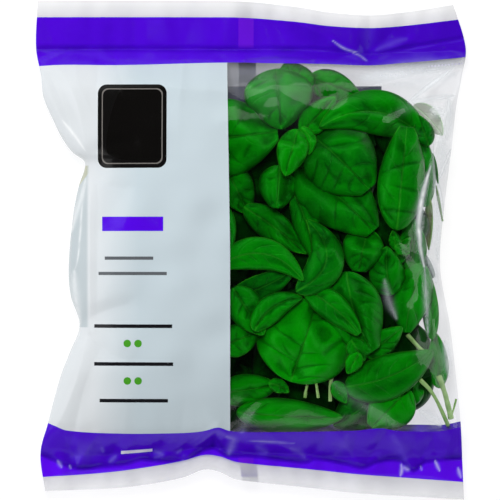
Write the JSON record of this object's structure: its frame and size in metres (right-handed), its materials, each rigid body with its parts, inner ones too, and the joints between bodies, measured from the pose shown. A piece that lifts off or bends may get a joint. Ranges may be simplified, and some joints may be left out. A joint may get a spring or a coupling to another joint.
{
  "type": "bagged cut basil",
  "caption": "Loose cut basil leaves and stems sealed in a printed pillow bag of thin film with a clear window.",
  "frame": {"origin": "on the surface that the bag lies on, below the middle of its length and width", "axes": "+X to the bag's right, +Y to its top edge, +Z out of its front film"},
  "size_m": [0.24, 0.2784, 0.0597],
  "materials": {
    "front_film": "thin clear packaging film with an opaque pale grey-blue panel and two purple bands",
    "back_film": "thin clear packaging film with purple bands, a pale panel and a plain dark grey block",
    "fin_film": "two layers of film sealed together and folded flat",
    "leaf": "fresh basil leaf, satin, quilted between its veins",
    "stem": "fresh pale green cut stem"
  },
  "bodies": {
    "root": {"back_film": "back_film", "back_fin_seal": "fin_film", "front_film": "front_film", "leaf_arched_top": "leaf", "leaf_back_top": "leaf", "leaf_back_upper": "leaf", "leaf_behind_lens": "leaf", "leaf_bottom_left": "leaf", "leaf_bottom_long": "leaf", "leaf_bottom_right": "leaf", "leaf_broad_top": "leaf", "leaf_bud_lower": "leaf", "leaf_bud_upper": "leaf", "leaf_crescent": "leaf", "leaf_cup_centre": "leaf", "leaf_cup_left": "leaf", "leaf_cupped_small": "leaf", "leaf_cupped_upper": "leaf", "leaf_curled_right": "leaf", "leaf_dark_bottom": "leaf", "leaf_dark_left": "leaf", "leaf_diamond": "leaf", "leaf_edge_right": "leaf", "leaf_flap_small": "leaf", "leaf_floor_bottom": "leaf", "leaf_floor_centre": "leaf", "leaf_floor_left": "leaf", "leaf_floor_lower": "leaf", "leaf_floor_middle": "leaf", "leaf_floor_right": "leaf", "leaf_floor_top": "leaf", "leaf_folded_corner": "leaf", "leaf_folded_left": "leaf", "leaf_heart_centre": "leaf", "leaf_hooked": "leaf", "leaf_lens": "leaf", "leaf_low_right": "leaf", "leaf_pale_right": "leaf", "leaf_panel_bottom": "leaf", "leaf_panel_edge": "leaf", "leaf_panel_lower": "leaf", "leaf_panel_middle": "leaf", "leaf_panel_top": "leaf", "leaf_rim_right": "leaf", "leaf_rolled_corner": "leaf", "leaf_rolled_left": "leaf", "leaf_rolled_upper": "leaf", "leaf_round_large": "leaf", "leaf_small_bottom": "leaf", "leaf_tall_right": "leaf", "leaf_underside": "leaf", "leaf_wing_centre": "leaf", "leaf_wing_right": "leaf", "leaf_young_right": "leaf", "stem_behind_lens": "stem", "stem_below_round_1": "stem", "stem_below_round_2": "stem", "stem_below_round_3": "stem", "stem_corner_thick": "stem", "stem_corner_thin": "stem"}
  },
  "joints": []
}
